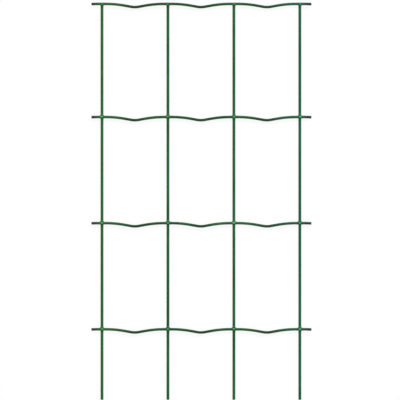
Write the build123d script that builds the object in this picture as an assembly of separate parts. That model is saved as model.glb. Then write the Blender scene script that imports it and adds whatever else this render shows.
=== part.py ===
from build123d import *
import os
from math import atan, cos, sin, tan

# A flat piece of plastic-coated welded fence mesh, lying on its uprights. Millimetres, +Z up,
# +X along the line wires, +Y along the uprights, origin at the bottom centre of the piece.

# Mesh, from wire centre to wire centre
upright_count = 4
line_count = 4
upright_pitch = 63.5
line_pitch = 102.1
first_pitch = 108.8  # the openings under the first line wire are taller

# Wires, over their coating
upright_diameter = 2.85
line_diameter = 2.65
wire_sides = 12
weld_setdown = 0.6  # how far a weld presses the line wire into the upright

# Cut ends, from the centre of the last crossing
left_tail = 10.2
right_tail = 11.2
lower_tail = 68.1

# Crimp of a line wire: straight over each weld, then an arch, a straight slope and a dip
crimp_depth = 3.05
seat_half_length = 3.5
slope_run = 5.6
dip_radius = 22.0

# Coating that fills the corners of a crossing
web_leg = 0.9  # how far it runs out along the edge of each wire
web_half_height = 1.9

# Levels and places that follow from the sizes above
upright_radius = upright_diameter / 2
line_radius = line_diameter / 2
upright_level = upright_radius
weld_level = upright_diameter - weld_setdown
line_level = weld_level + line_radius
web_level = (upright_diameter + weld_level) / 2

mesh_width = left_tail + (upright_count - 1) * upright_pitch + right_tail
mesh_height = line_radius + first_pitch + (line_count - 2) * line_pitch + lower_tail
left_edge = -mesh_width / 2
upper_edge = mesh_height / 2
lower_edge = -mesh_height / 2

upright_places = [left_edge + left_tail + i * upright_pitch for i in range(upright_count)]
first_line_place = upper_edge - line_radius
line_places = [first_line_place]
for i in range(line_count - 1):
    line_places.append(first_line_place - first_pitch - i * line_pitch)

# A block that trims the ends of wires and webs, wider than any wire or crimp
trim_block = upright_pitch

# The crimp's slope, and the arch radius that joins the straight seat to that slope
half_run = upright_pitch / 2 - seat_half_length
slope = 2 * atan(crimp_depth / (half_run + slope_run))
arch_radius = (half_run - slope_run * cos(slope)) / sin(slope) - dip_radius
seat_corner = seat_half_length + arch_radius * tan(slope / 2)
dip_corner = (upright_pitch / 2 - seat_corner) * tan(slope)


def wire_section(radius):
    """A few-sided wire section that lies on one of its flats."""
    return RegularPolygon(radius, wire_sides, major_radius=False, rotation=180 / wire_sides)


def upright(place):
    """A straight upright, cut flush with the outer edge of the first line wire."""
    foot = Plane(origin=(place, lower_edge, upright_level), x_dir=(1, 0, 0), z_dir=(0, 1, 0))
    return extrude(foot * wire_section(upright_radius), amount=mesh_height)


def line_wire():
    """One crimped line wire on its own axis, sheared off at both sides of the piece."""
    corners = [(upright_places[0] - upright_pitch / 2, -dip_corner)]
    radii = []
    for place in upright_places:
        corners.append((place - seat_corner, 0))
        corners.append((place + seat_corner, 0))
        corners.append((place + upright_pitch / 2, -dip_corner))
        radii += [arch_radius, arch_radius, dip_radius]
    axis = FilletPolyline(*corners, radius=radii[:-1])
    start = Plane(origin=axis @ 0, x_dir=(0, 0, 1), z_dir=axis % 0)
    wire = sweep(start * wire_section(line_radius), path=axis)
    return wire & Box(mesh_width, trim_block, trim_block)


def coating_web():
    """The coating gathered round one weld: a diamond in plan that thins out along all four wire arms."""
    reach = upright_radius + line_radius + web_leg
    diamond = Polyline((reach, 0), (0, reach), (-reach, 0), (0, -reach), close=True)
    lowest = Vertex(0, 0, web_level - web_half_height)
    highest = Vertex(0, 0, web_level + web_half_height)
    widest = Pos(0, 0, web_level) * make_face(diamond)
    return loft([lowest, widest, highest], ruled=True)


line = line_wire()
web = coating_web()
flush_web = web & Pos(0, line_radius - trim_block / 2, 0) * Box(trim_block, trim_block, trim_block)

pieces = [upright(place) for place in upright_places]
for row, line_place in enumerate(line_places):
    pieces.append(Pos(0, line_place, line_level) * line)
    for upright_place in upright_places:
        crossing_web = flush_web if row == 0 else web
        pieces.append(Pos(upright_place, line_place, 0) * crossing_web)

wire_mesh = Part() + pieces

os.makedirs("parts", exist_ok=True)
export_step(wire_mesh, "parts/wire_mesh.step")
print("wire_mesh", len(wire_mesh.solids()), "solid, arch radius", round(arch_radius, 2))
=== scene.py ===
from math import asin, atan, cos, pi, radians, sin
from random import Random

import bpy
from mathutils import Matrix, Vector


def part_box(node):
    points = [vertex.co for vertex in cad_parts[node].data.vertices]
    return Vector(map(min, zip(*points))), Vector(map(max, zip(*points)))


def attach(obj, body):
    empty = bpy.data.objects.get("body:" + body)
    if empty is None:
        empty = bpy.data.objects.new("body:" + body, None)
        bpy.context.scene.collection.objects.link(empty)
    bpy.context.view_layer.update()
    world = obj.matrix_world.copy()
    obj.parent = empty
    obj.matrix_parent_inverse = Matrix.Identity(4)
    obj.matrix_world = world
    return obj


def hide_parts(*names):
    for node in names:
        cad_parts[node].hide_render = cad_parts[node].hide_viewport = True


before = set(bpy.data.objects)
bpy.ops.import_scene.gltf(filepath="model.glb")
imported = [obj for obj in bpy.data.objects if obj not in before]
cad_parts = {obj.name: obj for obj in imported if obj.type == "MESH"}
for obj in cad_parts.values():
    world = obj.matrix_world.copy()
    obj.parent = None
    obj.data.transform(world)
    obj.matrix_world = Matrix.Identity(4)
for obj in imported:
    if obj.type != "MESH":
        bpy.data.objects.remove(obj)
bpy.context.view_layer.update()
bpy.context.scene.view_settings.view_transform = "Standard"

mm = 0.001
low, high = (Vector(corner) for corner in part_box("wire_mesh"))

# the mesh as it was welded, from wire centre to wire centre; the CAD part's box gives the outside sizes
mesh = {
    "uprights": 4,
    "lines": 4,
    "firstPitch": 108.8 * mm,  # the openings under the first line wire are taller
    "linePitch": 102.1 * mm,
    "leftTail": 10.2 * mm,
    "rightTail": 11.2 * mm,
    "uprightRadius": 1.425 * mm,
    "lineRadius": 1.325 * mm,
    "slack": 0.02 * mm,  # the wires' skin lies this far inside the CAD surface, as room for waves
    "crownRoom": 0.05 * mm,  # and the line wires this much lower, as room for the weld coats
}
uprightPitch = (high.x - low.x - mesh["leftTail"] - mesh["rightTail"]) / (mesh["uprights"] - 1)
uprightPlaces = [low.x + mesh["leftTail"] + i * uprightPitch for i in range(mesh["uprights"])]
firstLine = high.y - mesh["lineRadius"]
linePlaces = [firstLine] + [
    firstLine - mesh["firstPitch"] - i * mesh["linePitch"] for i in range(mesh["lines"] - 1)
]
uprightLevel = low.z + mesh["uprightRadius"]
lineLevel = high.z - mesh["lineRadius"] - mesh["crownRoom"]


class Value:
    # wraps a node's output, so that shader maths reads as plain expressions
    def __init__(self, finish, socket):
        self.finish = finish
        self.socket = socket

    def __add__(self, other):
        return self.finish.math("ADD", self, other)

    def __radd__(self, other):
        return self.finish.math("ADD", other, self)

    def __sub__(self, other):
        return self.finish.math("SUBTRACT", self, other)

    def __rsub__(self, other):
        return self.finish.math("SUBTRACT", other, self)

    def __mul__(self, other):
        return self.finish.math("MULTIPLY", self, other)

    def __rmul__(self, other):
        return self.finish.math("MULTIPLY", other, self)


class Finish:
    def __init__(self, owner):
        owner.use_nodes = True
        self.owner = owner
        self.tree = owner.node_tree
        self.tree.nodes.clear()

    # settings first, then the values or links of the sockets; gives back one output
    def node(self, kind, settings=None, sockets=None, out=0):
        made = self.tree.nodes.new(kind)
        for key, setting in (settings or {}).items():
            if key == "stops":
                for element, (place, shade) in zip(made.color_ramp.elements, setting):
                    element.position = place
                    element.color = (shade, shade, shade, 1.0)
            else:
                setattr(made, key, setting)
        for key, given in (sockets or {}).items():
            if isinstance(given, Value):
                self.tree.links.new(given.socket, made.inputs[key])
            elif made.inputs[key].type == "RGBA":
                made.inputs[key].default_value = (*given, 1.0)  # shades are written without an alpha
            else:
                made.inputs[key].default_value = given
        return Value(self, made.outputs[out]) if made.outputs else None

    def math(self, operation, first, second):
        return self.node("ShaderNodeMath", {"operation": operation}, {0: first, 1: second})

    def mixColour(self, factor, first, second):
        pair = {"Factor": factor, 6: first, 7: second}
        return self.node("ShaderNodeMix", {"data_type": "RGBA"}, pair, out=2)

    def noise(self, place, scale, detail=2.0, roughness=0.5):
        sockets = {"Vector": place, "Scale": scale, "Detail": detail, "Roughness": roughness}
        return self.node("ShaderNodeTexNoise", {"noise_dimensions": "3D"}, sockets)

    # from 0 to 1 while the value goes from start to end, and the other way round
    def rise(self, value, start, end):
        return self.node("ShaderNodeValToRGB", {"stops": ((start, 0.0), (end, 1.0))}, {"Fac": value})

    def fall(self, value, start, end):
        return self.node("ShaderNodeValToRGB", {"stops": ((start, 1.0), (end, 0.0))}, {"Fac": value})


def newFinish(name):
    return Finish(bpy.data.materials.new(name))


# green plastic coating, the same on every wire; a range is the part of a noise that a change takes up
coat = {
    "roughness": 0.36,
    "specular": 0.22,
    "tone": 42.0 * mm,  # slow change from darker to paler stretches of wire
    "toneRange": (0.36, 0.64),
    "toneShare": 0.70,
    "patchRange": (0.32, 0.68),
    "patchShare": 0.15,
    "streak": 30.0,  # drawn lines along the wire, per metre of wire
    "streakAcross": 2200.0,
    "streakShare": 0.15,
    "streakHeight": 0.45,
    "peel": 1500.0,  # orange peel, per metre
    "peelHeight": 0.55,
    "uneven": 0.16,  # how far peel and streaks change the roughness
    "pit": 620.0,  # small pits where dust was caught in the coating, per metre
    "pitRange": (0.05, 0.11),
    "pitShare": 0.45,
    "pitRoughness": 0.2,
    "pitHeight": 0.5,
    "dusty": 75.0,  # pits come in a few dusty stretches
    "dustyRange": (0.54, 0.62),
    "relief": 0.7,
    "reliefDepth": 0.05 * mm,
    "paintedSideLight": (0.010, 0.170, 0.042),  # painted light: the wires' sides are coloured lighter and greener than their tops, for the light they catch from the floor
    "paintedSideLightRange": (0.35, 0.95),  # by how far a face looks up
    "paintedSideLightShare": 0.50,
}
noiseMiddle = 0.5

# the coating is a touch yellower on the left of the piece and bluer on the right
drift = {
    "left": {"reach": 60.0 * mm, "shade": (0.020, 0.085, 0.017), "share": 0.45},
    "right": {"reach": 60.0 * mm, "shade": (0.004, 0.070, 0.052), "share": 0.45},
}
# the tails are darker towards their cut ends, grey on the left and blue-green on the right
grime = {
    "left": {"reach": 7.0 * mm, "shade": (0.018, 0.021, 0.018), "share": 0.85},
    "right": {"reach": 9.0 * mm, "shade": (0.009, 0.024, 0.017), "share": 0.85},
}
fadeRange = (0.40, 1.0)  # part of a reach over which its shade fades


def shadeEnds(paint, across, colour, ends):
    for side, toEnd in (("left", across - low.x), ("right", high.x - across)):
        near = paint.fall(toEnd * (1.0 / ends[side]["reach"]), *fadeRange)
        colour = paint.mixColour(near * ends[side]["share"], colour, ends[side]["shade"])
    return colour


# thin and thick are the shades where the coating is so, in patches; along is the axis of the streaks
def coatFinish(name, kind):
    paint = newFinish(name)
    place = paint.node("ShaderNodeTexCoord", out="Object")
    across = paint.node("ShaderNodeSeparateXYZ", sockets={"Vector": place}, out="X")
    facing = paint.node("ShaderNodeTexCoord", out="Normal")
    upward = paint.node("ShaderNodeSeparateXYZ", sockets={"Vector": facing}, out="Z")
    drawn = [coat["streakAcross"]] * 3
    drawn[kind["along"]] = coat["streak"]
    stretched = paint.node("ShaderNodeMapping", sockets={"Vector": place, "Scale": drawn})
    tone = paint.rise(paint.noise(place, 1.0 / coat["tone"]), *coat["toneRange"])
    mottle = paint.noise(place, 1.0 / kind["patch"], detail=3.0, roughness=0.6)
    patches = paint.rise(mottle, *coat["patchRange"])
    streaks = paint.noise(stretched, 1.0, roughness=0.55)
    peel = paint.noise(place, coat["peel"])
    dusty = paint.rise(paint.noise(place, coat["dusty"], detail=1.0), *coat["dustyRange"])
    grain = paint.node("ShaderNodeTexVoronoi", {"feature": "F1"}, {"Vector": place, "Scale": coat["pit"]})
    pits = paint.fall(grain, *coat["pitRange"]) * dusty
    # painted light: full on a wire's sides, none on its top
    sides = paint.fall(upward, *coat["paintedSideLightRange"])

    thickness = tone * coat["toneShare"] + patches * coat["patchShare"] + streaks * coat["streakShare"]
    colour = paint.mixColour(thickness, kind["thin"], kind["thick"])
    colour = shadeEnds(paint, across, colour, drift)
    # painted light on the wires' sides
    colour = paint.mixColour(sides * coat["paintedSideLightShare"], colour, coat["paintedSideLight"])
    colour = paint.mixColour(pits * coat["pitShare"], colour, kind["thin"])
    roughness = coat["roughness"] + (peel - noiseMiddle) * coat["uneven"]
    roughness = roughness + (streaks - noiseMiddle) * coat["uneven"] + pits * coat["pitRoughness"]
    height = peel * coat["peelHeight"] + streaks * coat["streakHeight"] - pits * coat["pitHeight"]
    normal = paint.node("ShaderNodeBump", sockets={
        "Strength": coat["relief"], "Distance": coat["reliefDepth"], "Height": height})
    return paint, {"across": across, "colour": colour, "roughness": roughness, "normal": normal}


def closeCoat(paint, layers):
    surface = paint.node("ShaderNodeBsdfPrincipled", sockets={
        "Base Color": layers["colour"], "Roughness": layers["roughness"], "Normal": layers["normal"],
        "Specular IOR Level": coat["specular"]})
    paint.node("ShaderNodeOutputMaterial", sockets={"Surface": surface})
    return paint.owner


uprightShades = {
    "thin": (0.003, 0.056, 0.012),
    "thick": (0.007, 0.103, 0.025),
    "patch": 9.0 * mm,
    "along": 1,
}


def makeUprightCoat():
    return closeCoat(*coatFinish("upright_coating", uprightShades))


# painted shade: these shades are darker than the uprights' coating, for the shade on the line wires' lower
# sides
lineShades = {
    "thin": (0.003, 0.036, 0.008),
    "thick": (0.012, 0.097, 0.026),
    "patch": 13.0 * mm,
    "along": 0,
    "dip": (0.002, 0.027, 0.007),  # painted shade: the dips are coloured darker, for the shade that falls on them
    "dipShare": 0.70,
    "dipRange": (0.45, 0.85),  # from 0 at a weld to 1 in mid-span
}


def makeLineCoat():
    paint, layers = coatFinish("line_wire_coating", lineShades)
    across = layers["across"]
    fromWeld = paint.math("PINGPONG", across - uprightPlaces[0], uprightPitch / 2) * (2.0 / uprightPitch)
    # painted shade in the dips, strongest in mid-span
    dip = paint.rise(fromWeld, *lineShades["dipRange"])
    colour = paint.mixColour(dip * lineShades["dipShare"], layers["colour"], lineShades["dip"])
    layers["colour"] = shadeEnds(paint, across, colour, grime)
    return closeCoat(paint, layers)


# painted shade: a little darker than the uprights' coating, for the shade round the weld's corners
weldShades = {
    "thin": (0.005, 0.050, 0.014),
    "thick": (0.009, 0.088, 0.027),
    "patch": 4.0 * mm,
    "along": 2,
    "crown": (0.115, 0.305, 0.152),  # painted highlight on the weld's top, and partly a thick, pale coating there
    "crownPolish": 0.08,  # and a little smoother
}


def makeWeldCoating():
    paint, layers = coatFinish("weld_coating", weldShades)
    crown = paint.node("ShaderNodeAttribute", {"attribute_name": "crown"}, out="Fac")
    # painted highlight: the crown mark pales the weld's top
    colour = paint.mixColour(crown, layers["colour"], weldShades["crown"])
    layers["colour"] = shadeEnds(paint, layers["across"], colour, grime)
    layers["roughness"] = layers["roughness"] - crown * weldShades["crownPolish"]
    return closeCoat(paint, layers)


# sheared steel of the cut ends
steelFace = {
    "bright": (0.30, 0.30, 0.29),
    "rust": (0.11, 0.085, 0.065),
    "stain": 700.0,  # rusty stains, per metre
    "stainRange": (0.45, 0.75),
    "stainDull": 0.7,
    "shear": 2600.0,  # torn grain of the sheared face, per metre
    "shearRelief": 0.5,
    "shearDepth": 0.03 * mm,
    "roughness": 0.34,
    "shearRoughness": 0.25,
}


def makeSteel():
    steel = newFinish("bare_steel")
    place = steel.node("ShaderNodeTexCoord", out="Object")
    shear = steel.noise(place, steelFace["shear"], detail=3.0, roughness=0.6)
    stain = steel.rise(steel.noise(place, steelFace["stain"]), *steelFace["stainRange"])
    colour = steel.mixColour(stain, steelFace["bright"], steelFace["rust"])
    normal = steel.node("ShaderNodeBump", sockets={
        "Strength": steelFace["shearRelief"], "Distance": steelFace["shearDepth"], "Height": shear})
    surface = steel.node("ShaderNodeBsdfPrincipled", sockets={
        "Base Color": colour, "Roughness": steelFace["roughness"] + shear * steelFace["shearRoughness"],
        "Metallic": 1.0 - stain * steelFace["stainDull"], "Normal": normal})
    steel.node("ShaderNodeOutputMaterial", sockets={"Surface": surface})
    return steel.owner


uprightCoat = makeUprightCoat()
lineCoat = makeLineCoat()
weldCoating = makeWeldCoating()
bareSteel = makeSteel()
print("finishes:", ", ".join(m.name for m in (uprightCoat, lineCoat, weldCoating, bareSteel)))


def deselectAll():
    if bpy.context.object and bpy.context.object.mode != "OBJECT":
        bpy.ops.object.mode_set(mode="OBJECT")
    bpy.ops.object.select_all(action="DESELECT")


def pick(piece, kind, test):
    # leaves the piece in edit mode with the faces, edges or points that pass the test selected
    bpy.ops.object.mode_set(mode="EDIT")
    bpy.ops.mesh.select_mode(type=kind)
    bpy.ops.mesh.select_all(action="DESELECT")
    bpy.ops.object.mode_set(mode="OBJECT")
    parts = {"FACE": piece.data.polygons, "EDGE": piece.data.edges, "VERT": piece.data.vertices}
    for item in parts[kind]:
        item.select = test(item)
    bpy.ops.object.mode_set(mode="EDIT")


def applyPlace():
    bpy.ops.object.transform_apply(location=True, rotation=True, scale=True)
    return bpy.context.active_object


def addModifier(piece, kind, **settings):
    modifier = piece.modifiers.new(kind.lower(), kind)
    for key, setting in settings.items():
        setattr(modifier, key, setting)
    bpy.context.view_layer.objects.active = piece
    bpy.ops.object.modifier_apply(modifier=modifier.name)


# slow waves in the coating's thickness, the same field for every piece
skin = {"wave": 7.0 * mm, "waveDepth": 0.04 * mm, "smoothAngle": radians(38)}
waves = bpy.data.textures.new("coatWaves", "CLOUDS")
waves.noise_scale = skin["wave"]
waves.noise_depth = 1


def finishPiece(piece, name, *materials):
    piece.name = piece.data.name = name
    addModifier(
        piece, "DISPLACE", texture=waves, texture_coords="LOCAL",
        strength=skin["waveDepth"], mid_level=noiseMiddle)
    for material in materials:
        if material.name not in piece.data.materials:
            piece.data.materials.append(material)
    deselectAll()
    piece.select_set(True)
    bpy.context.view_layer.objects.active = piece
    bpy.ops.object.shade_smooth_by_angle(angle=skin["smoothAngle"])
    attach(piece, "root")
    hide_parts("wire_mesh")
    return piece


def copyPiece(source, offset):
    deselectAll()
    source.select_set(True)
    bpy.context.view_layer.objects.active = source
    bpy.ops.object.duplicate(linked=False)
    bpy.ops.transform.translate(value=offset)
    return applyPlace()


cutEnd = {
    "coatWall": 0.30 * mm,
    "rim": 0.10 * mm,  # rounding of the coating's cut edge
    "rimSteps": 3,
    "coreProud": 0.16 * mm,  # the coating springs back from the cut
    "coreStep": 0.6,  # share of that in the core's straight wall; its burr has the rest
    "burr": 0.16 * mm,
    "nip": 0.72,  # the cutter's jaws leave the core's face flatter than it is wide
}


def isCap(face):
    return len(face.vertices) > 4  # only the flat ends of a wire have more corners than that


def openCutEnd(piece, axis, side):
    # the end cap becomes a ring of coating round a core of bare steel that stands a little proud
    def isThisEnd(face):
        return isCap(face) and face.normal[axis] * side > 0.5

    pick(piece, "FACE", isThisEnd)
    bpy.ops.mesh.bevel(offset=cutEnd["rim"], segments=cutEnd["rimSteps"], affect="EDGES")
    pick(piece, "FACE", isThisEnd)
    bpy.ops.mesh.inset(thickness=cutEnd["coatWall"] - cutEnd["rim"])
    wall = cutEnd["coreProud"] * cutEnd["coreStep"]
    bpy.ops.mesh.extrude_region_shrink_fatten(TRANSFORM_OT_shrink_fatten={"value": wall})
    bpy.ops.object.mode_set(mode="OBJECT")
    cap = next(face for face in piece.data.polygons if face.select)
    middle = cap.center.copy()
    edge = set(cap.vertices)
    for face in piece.data.polygons:
        if len(edge & set(face.vertices)) >= 2:  # the cap and the wall that shares its edges
            face.material_index = 1
    bpy.ops.object.mode_set(mode="EDIT")
    bpy.ops.mesh.inset(thickness=cutEnd["burr"], depth=cutEnd["coreProud"] * (1 - cutEnd["coreStep"]))
    bpy.ops.transform.resize(value=(1, 1, cutEnd["nip"]), center_override=middle)
    bpy.ops.object.mode_set(mode="OBJECT")


# straight uprights
upright = {
    "sides": 32,
    "rings": 150,
    "buried": 0.4 * mm,  # the upper end stops this far inside the coating of the first weld
}


def makeUpright():
    deselectAll()
    bottom = low.y + cutEnd["coreProud"] + mesh["slack"]
    top = high.y - upright["buried"]
    radius = mesh["uprightRadius"] - mesh["slack"]
    bpy.ops.mesh.primitive_cylinder_add(
        vertices=upright["sides"], radius=radius, depth=top - bottom,
        location=(uprightPlaces[0], (top + bottom) / 2, uprightLevel), rotation=(pi / 2, 0, 0))
    piece = applyPlace()
    piece.data.materials.append(uprightCoat)
    piece.data.materials.append(bareSteel)

    def runsAlong(edge):
        start, end = (piece.data.vertices[i].co.y for i in edge.vertices)
        return abs(end - start) > radius

    pick(piece, "EDGE", runsAlong)
    bpy.ops.mesh.subdivide(number_cuts=upright["rings"])
    openCutEnd(piece, 1, -1)
    return piece


firstUpright = makeUpright()
uprightPieces = [firstUpright] + [
    copyPiece(firstUpright, (i * uprightPitch, 0, 0)) for i in range(1, mesh["uprights"])
]
for i, piece in enumerate(uprightPieces):
    finishPiece(piece, f"upright_{i + 1}")
print("uprights:", len(uprightPieces), "with", len(firstUpright.data.polygons), "faces each")


# crimped line wires: straight over each weld, then an arch, a straight slope and a dip
crimp = {
    "depth": 3.05 * mm,
    "seatHalf": 3.5 * mm,
    "slopeRun": 5.6 * mm,
    "dipRadius": 22.0 * mm,
    "sides": 32,
    "tailSteps": 4,
    "archSteps": 10,
    "dipSteps": 10,
    "runSteps": 3,
    "merge": 0.001 * mm,
}
halfRun = uprightPitch / 2 - crimp["seatHalf"]
slope = 2 * atan(crimp["depth"] / (halfRun + crimp["slopeRun"]))
archRadius = (halfRun - crimp["slopeRun"] * cos(slope)) / sin(slope) - crimp["dipRadius"]


def turn(angle, x, y, steps):
    # spins the end ring about an upright axis; a positive angle turns it clockwise, seen from above
    bpy.ops.mesh.spin(steps=steps, angle=angle, center=(x, y, lineLevel), axis=(0, 0, 1))


def run(x, y):
    step = (x / crimp["runSteps"], y / crimp["runSteps"], 0)
    for i in range(crimp["runSteps"]):
        bpy.ops.mesh.extrude_region_move(TRANSFORM_OT_translate={"value": step})


def makeLineWire():
    deselectAll()
    seat = crimp["seatHalf"]
    archCentre = firstLine - archRadius
    dipCentre = firstLine - crimp["depth"] + crimp["dipRadius"]
    downX = crimp["slopeRun"] * cos(slope)
    downY = crimp["slopeRun"] * sin(slope)
    # the tails lean a little, so their ends keep clear of the CAD box by that too
    leftGap, rightGap = (
        cutEnd["coreProud"] + mesh["lineRadius"] * (mesh[tail] - seat) / archRadius
        for tail in ("leftTail", "rightTail")
    )
    leftTurn = asin((mesh["leftTail"] - leftGap - seat) / archRadius)
    rightTurn = asin((mesh["rightTail"] - rightGap - seat) / archRadius)
    bpy.ops.mesh.primitive_circle_add(
        vertices=crimp["sides"], radius=mesh["lineRadius"] - mesh["slack"],
        location=(low.x + leftGap, archCentre + archRadius * cos(leftTurn), lineLevel),
        rotation=(0, pi / 2, leftTurn))
    piece = applyPlace()
    piece.data.materials.append(lineCoat)
    piece.data.materials.append(bareSteel)
    bpy.ops.object.mode_set(mode="EDIT")
    bpy.ops.mesh.select_all(action="SELECT")
    turn(leftTurn, uprightPlaces[0] - seat, archCentre, crimp["tailSteps"])
    for i, x in enumerate(uprightPlaces):
        run(2 * seat, 0)
        if i < len(uprightPlaces) - 1:
            turn(slope, x + seat, archCentre, crimp["archSteps"])
            run(downX, -downY)
            turn(-2 * slope, x + uprightPitch / 2, dipCentre, crimp["dipSteps"])
            run(downX, downY)
            turn(slope, x + uprightPitch - seat, archCentre, crimp["archSteps"])
    turn(rightTurn, uprightPlaces[-1] + seat, archCentre, crimp["tailSteps"])
    bpy.ops.mesh.select_all(action="SELECT")
    bpy.ops.mesh.remove_doubles(threshold=crimp["merge"])
    bpy.ops.mesh.fill_holes(sides=0)
    bpy.ops.mesh.select_all(action="SELECT")
    bpy.ops.mesh.normals_make_consistent(inside=False)
    openCutEnd(piece, 0, -1)
    openCutEnd(piece, 0, 1)
    return piece


firstWire = makeLineWire()
lineWires = [firstWire] + [copyPiece(firstWire, (0, y - firstLine, 0)) for y in linePlaces[1:]]
for i, piece in enumerate(lineWires):
    finishPiece(piece, f"line_wire_{i + 1}")
print("line wires:", len(lineWires), "with", len(firstWire.data.polygons), "faces each")


# coating that gathers round a weld: both wires' skins and a diamond bead between them, melted together
weld = {
    "armHalf": 5.4 * mm,
    "crown": 0.10 * mm,  # over the line wire at the weld
    "hug": 0.10 * mm,  # over the upright
    "dive": 0.05 * mm,  # under the wires' skin where an arm ends
    "beadReach": 3.7 * mm,
    "beadShift": 0.25 * mm,  # the bead hangs a little towards the first line wire
    "beadHalfHeight": 1.9 * mm,
    "sides": 48,
    "voxel": 0.14 * mm,
    "meltFactor": 0.5,
    "melt": 18,
    "webMelt": 90,  # and this much more for the webs in the corners
    "electrode": 0.07 * mm,  # depth of the flat that the electrode leaves on top
    "lensHighlightHalf": (1.9 * mm, 1.0 * mm),  # pale lens on top of the weld, a painted highlight and partly paler coating, along the line wire and across it
    "lensHighlightShift": 0.26 * mm,
    "edgeHighlightShift": -0.35 * mm,  # lower and weaker in the first row
    "edgeHighlightShare": 0.6,
    "chance": 0.18,  # how much the lenses differ from weld to weld
}
beadLevel = (uprightLevel + mesh["uprightRadius"] + lineLevel - mesh["lineRadius"]) / 2


def weldArm(radius, rise, centre, along, back, front):
    # a tube that is thickest over the weld and dives under the wire's skin at its far ends
    axis = Vector((along == 0, along == 1, 0))
    middle = Vector(centre) + axis * (front - back) / 2
    bpy.ops.mesh.primitive_cylinder_add(
        vertices=weld["sides"], radius=radius + rise, depth=back + front, location=middle,
        rotation=(0, pi / 2, 0) if along == 0 else (pi / 2, 0, 0))
    piece = applyPlace()
    pick(piece, "FACE", lambda face: True)
    bpy.ops.mesh.bisect(plane_co=centre, plane_no=axis)
    far = [Vector(centre) - axis * weld["armHalf"], Vector(centre) + axis * weld["armHalf"]]
    small = (radius - weld["dive"]) / (radius + rise)
    pick(piece, "FACE", lambda face: isCap(face) and min((face.center - p).length for p in far) < radius)
    bpy.ops.transform.resize(value=[1 if i == along else small for i in range(3)], center_override=centre)
    bpy.ops.object.mode_set(mode="OBJECT")
    return piece


dice = Random(63)  # the same lenses each run


def markPaleLensHighlight(piece, x, y, share):
    # full in the middle of the pale lens, 0 outside it and under the wires; the lens is a painted
    # highlight, partly paler coating
    crown = piece.data.attributes.new("crown", "FLOAT", "POINT")
    least, most = 1 - weld["chance"], 1 + weld["chance"]
    halfX, halfY = (half * dice.uniform(least, most) for half in weld["lensHighlightHalf"])
    middleX = x + dice.uniform(-1, 1) * weld["chance"] * halfX
    middleY = y + dice.uniform(-1, 1) * weld["chance"] * halfY
    share *= dice.uniform(least, most)
    for point, mark in zip(piece.data.vertices, crown.data):
        far = ((point.co.x - middleX) / halfX) ** 2 + ((point.co.y - middleY) / halfY) ** 2
        mark.value = share * max(0.0, 1.0 - far) ** 2 if point.co.z > uprightLevel else 0.0


def makeWeldCoat(x, y, flushEdge):
    deselectAll()
    half = weld["armHalf"]
    stub = mesh["lineRadius"] if flushEdge else half  # the first row's uprights end flush with its wire
    arms = [
        weldArm(mesh["uprightRadius"], weld["hug"], (x, y, uprightLevel), 1, half, stub),
        weldArm(mesh["lineRadius"], weld["crown"], (x, y, lineLevel), 0, half, half),
    ]
    for side in (1, -1):
        deselectAll()
        bpy.ops.mesh.primitive_cone_add(
            vertices=4, radius1=weld["beadReach"], radius2=0, depth=weld["beadHalfHeight"],
            location=(x, y + weld["beadShift"], beadLevel + side * weld["beadHalfHeight"] / 2),
            rotation=(0 if side > 0 else pi, 0, 0))
        bead = applyPlace()
        if flushEdge:
            pick(bead, "FACE", lambda face: True)
            bpy.ops.mesh.bisect(
                plane_co=(x, y + stub, 0), plane_no=(0, 1, 0), use_fill=True, clear_outer=True)
            bpy.ops.object.mode_set(mode="OBJECT")
        arms.append(bead)
    deselectAll()
    for arm in arms:
        arm.select_set(True)
    bpy.context.view_layer.objects.active = arms[0]
    bpy.ops.object.join()
    piece = bpy.context.active_object
    addModifier(piece, "REMESH", mode="VOXEL", voxel_size=weld["voxel"])
    crest = lineLevel + mesh["lineRadius"] + weld["crown"] - weld["electrode"]
    pick(piece, "VERT", lambda point: point.co.z > crest)
    bpy.ops.transform.resize(value=(1, 1, 0), center_override=(x, y, crest))
    foot = low.z + mesh["slack"]
    pick(piece, "VERT", lambda point: point.co.z < foot)
    bpy.ops.transform.resize(value=(1, 1, 0), center_override=(x, y, foot))
    if flushEdge:
        flush = high.y - mesh["slack"]
        pick(piece, "VERT", lambda point: point.co.y > flush)
        bpy.ops.transform.resize(value=(1, 0, 1), center_override=(x, flush, crest))
    bpy.ops.object.mode_set(mode="OBJECT")
    addModifier(piece, "SMOOTH", factor=weld["meltFactor"], iterations=weld["melt"])

    def onWeb(point):
        inBead = abs(point.co.x - x) + abs(point.co.y - y - weld["beadShift"]) < weld["beadReach"]
        return inBead and uprightLevel < point.co.z < lineLevel

    pick(piece, "VERT", onWeb)
    bpy.ops.mesh.vertices_smooth(factor=weld["meltFactor"], repeat=weld["webMelt"])
    bpy.ops.object.mode_set(mode="OBJECT")
    return piece


edgeCoat = makeWeldCoat(uprightPlaces[0], linePlaces[0], True)
openCoat = makeWeldCoat(uprightPlaces[0], linePlaces[1], False)
weldCoats = []
for row, y in enumerate(linePlaces):
    source = edgeCoat if row == 0 else openCoat
    for column, x in enumerate(uprightPlaces):
        first = column == 0 and row < 2
        offset = (x - uprightPlaces[0], y - linePlaces[min(row, 1)], 0)
        weldCoats.append((row, column, source if first else copyPiece(source, offset)))
for row, column, piece in weldCoats:
    shift = weld["edgeHighlightShift"] if row == 0 else weld["lensHighlightShift"]
    markPaleLensHighlight(piece, uprightPlaces[column], linePlaces[row] + shift, weld["edgeHighlightShare"] if row == 0 else 1.0)
    finishPiece(piece, f"weld_coat_{row + 1}_{column + 1}", weldCoating)
print("weld coats:", len(weldCoats), "with", len(openCoat.data.polygons), "faces each")


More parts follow.
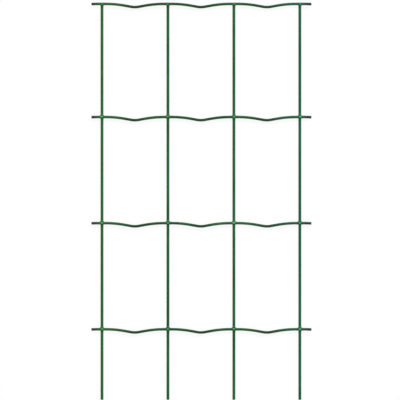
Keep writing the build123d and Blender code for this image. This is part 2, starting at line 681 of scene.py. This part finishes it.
# floor, light and camera
stageSet = {
    "floorHalf": 12.0,
    "floorShade": (0.84, 0.84, 0.84),
    "plainWhite": (1.0, 1.0, 1.0),
    "white": 0.90,  # share of the floor that the camera sees as plain white, over its own shading
    "ambient": 0.35,
    "horizon": (0.35, 0.75),  # the backdrop goes from white to dim between these heights
}


def raysThatSeeWhite(paint):
    kinds = ("Camera", "Glossy", "Transmission")
    camera, glossy, passing = (paint.node("ShaderNodeLightPath", out=f"Is {kind} Ray") for kind in kinds)
    return camera + glossy + passing


def makeFloor():
    deselectAll()
    bpy.ops.mesh.primitive_plane_add(size=2 * stageSet["floorHalf"], location=(0, 0, 0))
    floor = bpy.context.active_object
    floor.name = "floor"
    paint = newFinish("white_floor")
    seen = raysThatSeeWhite(paint)
    shaded = paint.node("ShaderNodeBsdfDiffuse", sockets={"Color": stageSet["floorShade"]})
    white = paint.node("ShaderNodeEmission", sockets={"Color": stageSet["plainWhite"], "Strength": 1.0})
    surface = paint.node("ShaderNodeMixShader", sockets={0: seen * stageSet["white"], 1: shaded, 2: white})
    paint.node("ShaderNodeOutputMaterial", sockets={"Surface": surface})
    floor.data.materials.append(paint.owner)


def makeWorld():
    world = bpy.data.worlds.new("studio")
    bpy.context.scene.world = world
    paint = Finish(world)
    seen = raysThatSeeWhite(paint)
    way = paint.node("ShaderNodeTexCoord", out="Generated")
    climb = paint.node("ShaderNodeSeparateXYZ", sockets={"Vector": way}, out="Z")
    backdrop = paint.fall(climb, *stageSet["horizon"])
    level = stageSet["ambient"] + seen * backdrop * (1.0 - stageSet["ambient"])
    sky = paint.node("ShaderNodeBackground", sockets={"Color": stageSet["plainWhite"], "Strength": level})
    paint.node("ShaderNodeOutputWorld", sockets={"Surface": sky})


lamps = {
    "upperLeft": {"place": (-1.84, 1.68, 2.16), "size": (1.28, 1.28), "watts": 28.0},
    "upperRight": {"place": (1.84, 1.68, 2.16), "size": (1.28, 1.28), "watts": 85.0},
    "lowerLeft": {"place": (-1.15, -1.0, 1.35), "size": (0.8, 0.8), "watts": 5.0},
    "lowerRight": {"place": (1.15, -1.0, 1.35), "size": (0.8, 0.8), "watts": 5.0},
    "stripLeft": {"place": (-0.24, 2.08, 1.92), "size": (0.19, 1.12), "watts": 7.7},
    "stripRight": {"place": (0.24, 2.08, 1.92), "size": (0.19, 1.12), "watts": 7.7},
}


def makeLamp(name, lamp):
    data = bpy.data.lights.new(name, "AREA")
    data.shape = "RECTANGLE"
    data.size, data.size_y = lamp["size"]
    data.energy = lamp["watts"]
    stand = bpy.data.objects.new(name, data)
    stand.location = lamp["place"]
    stand.rotation_euler = (-Vector(lamp["place"])).to_track_quat("-Z", "Y").to_euler()
    bpy.context.scene.collection.objects.link(stand)


makeFloor()
makeWorld()
for name, lamp in lamps.items():
    makeLamp(name, lamp)

# the photograph is square on, from straight above the piece
shot = {
    "frame": 384.8 * mm,  # width of the picture at the mesh
    "height": 2.2,
    "aim": (-1.39 * mm, 1.235 * mm),
    "sensor": 36.0,
    "clip": (0.05, 60.0),
}
cameraData = bpy.data.cameras.new("camera")
cameraData.sensor_width = shot["sensor"]
cameraData.lens = shot["sensor"] * shot["height"] / shot["frame"]
cameraData.clip_start, cameraData.clip_end = shot["clip"]
camera = bpy.data.objects.new("camera", cameraData)
camera.location = (*shot["aim"], shot["height"] + lineLevel)
bpy.context.scene.collection.objects.link(camera)
bpy.context.scene.camera = camera
print("stage: floor, world,", len(lamps), "lamps and a camera", round(cameraData.lens), "mm")
